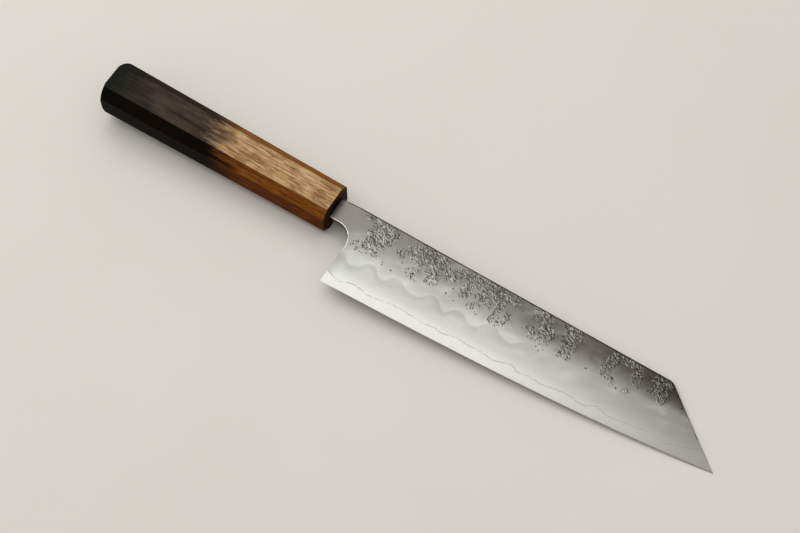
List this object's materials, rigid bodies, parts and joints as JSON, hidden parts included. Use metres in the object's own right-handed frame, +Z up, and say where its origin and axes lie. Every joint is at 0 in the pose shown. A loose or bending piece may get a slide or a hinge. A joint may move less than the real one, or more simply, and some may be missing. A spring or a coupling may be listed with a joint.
{
  "type": "kiritsuke knife",
  "caption": "Kiritsuke kitchen knife with a laminated, double-ground blade, a clipped point and a burnt oak octagonal handle, lying on its side.",
  "frame": {"origin": "on the surface that the knife lies on, under the middle of its bounding box", "axes": "+X from the butt towards the point, +Y from the cutting edge towards the spine, +Z up, out of the blade's right side. The knife's own long axis dips 2.5 degrees towards the point, because it rests on the handle's lower front edge and on the point."},
  "size_m": [0.3602, 0.0498, 0.027],
  "materials": {
    "core_steel": "hard carbon steel, finely polished to a near mirror at the edge",
    "cladding_steel": "softer steel, satin near the edge and pitted by the forge towards the spine",
    "burnt_oak": "oak, charred black at the butt and fading to brown, under clear satin lacquer",
    "dowel_wood": "plain turned hardwood",
    "resin": "set epoxy resin",
    "seal": "dark filled resin, smoothed level"
  },
  "bodies": {
    "root": {"core_steel": "core_steel", "right_cladding": "cladding_steel", "left_cladding": "cladding_steel", "handle_body": "burnt_oak", "slotted_dowel": "dowel_wood", "tang_resin": "resin", "mouth_seal": "seal"}
  },
  "joints": []
}
